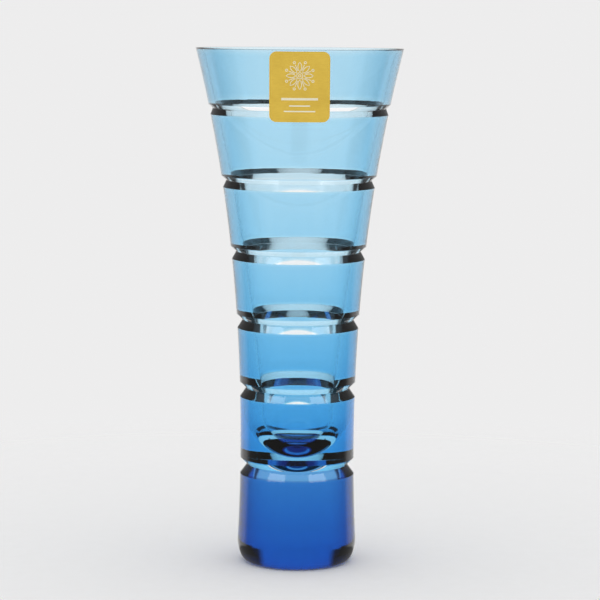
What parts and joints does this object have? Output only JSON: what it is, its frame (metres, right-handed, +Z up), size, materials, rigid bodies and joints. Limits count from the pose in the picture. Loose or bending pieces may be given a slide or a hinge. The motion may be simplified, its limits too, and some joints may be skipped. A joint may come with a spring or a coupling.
{
  "type": "vase",
  "caption": "Slender flared vase of clear crystal cased in blue glass, with ring cuts down to the clear, a thick solid foot and a gold label.",
  "frame": {"origin": "centre of the underside, on the surface that the vase stands on", "axes": "+Z up along the vase's axis of revolution, towards the rim; the label is on the -Y side"},
  "size_m": [0.082, 0.082, 0.205],
  "materials": {
    "clear_crystal": "polished, clear and colourless",
    "base_casing": "polished, deep blue, darkest where it is seen edge on",
    "casing_ring_1": "polished, clear blue, paler towards the rim as the casing thins",
    "casing_ring_2": "polished, clear blue, paler towards the rim as the casing thins",
    "casing_ring_3": "polished, clear blue, paler towards the rim as the casing thins",
    "casing_ring_4": "polished, clear blue, paler towards the rim as the casing thins",
    "casing_ring_5": "polished, clear blue, paler towards the rim as the casing thins",
    "casing_ring_6": "polished, clear blue, paler towards the rim as the casing thins",
    "adhesive": "thin clear adhesive",
    "gold_foil": "satin gold foil",
    "pale_print": "matt raised print"
  },
  "bodies": {
    "root": {"crystal": "clear_crystal", "base_casing": "base_casing", "casing_ring_1": "casing_ring_1", "casing_ring_2": "casing_ring_2", "casing_ring_3": "casing_ring_3", "casing_ring_4": "casing_ring_4", "casing_ring_5": "casing_ring_5", "casing_ring_6": "casing_ring_6", "label_adhesive": "adhesive", "label_foil": "gold_foil", "label_print": "pale_print"}
  },
  "joints": []
}
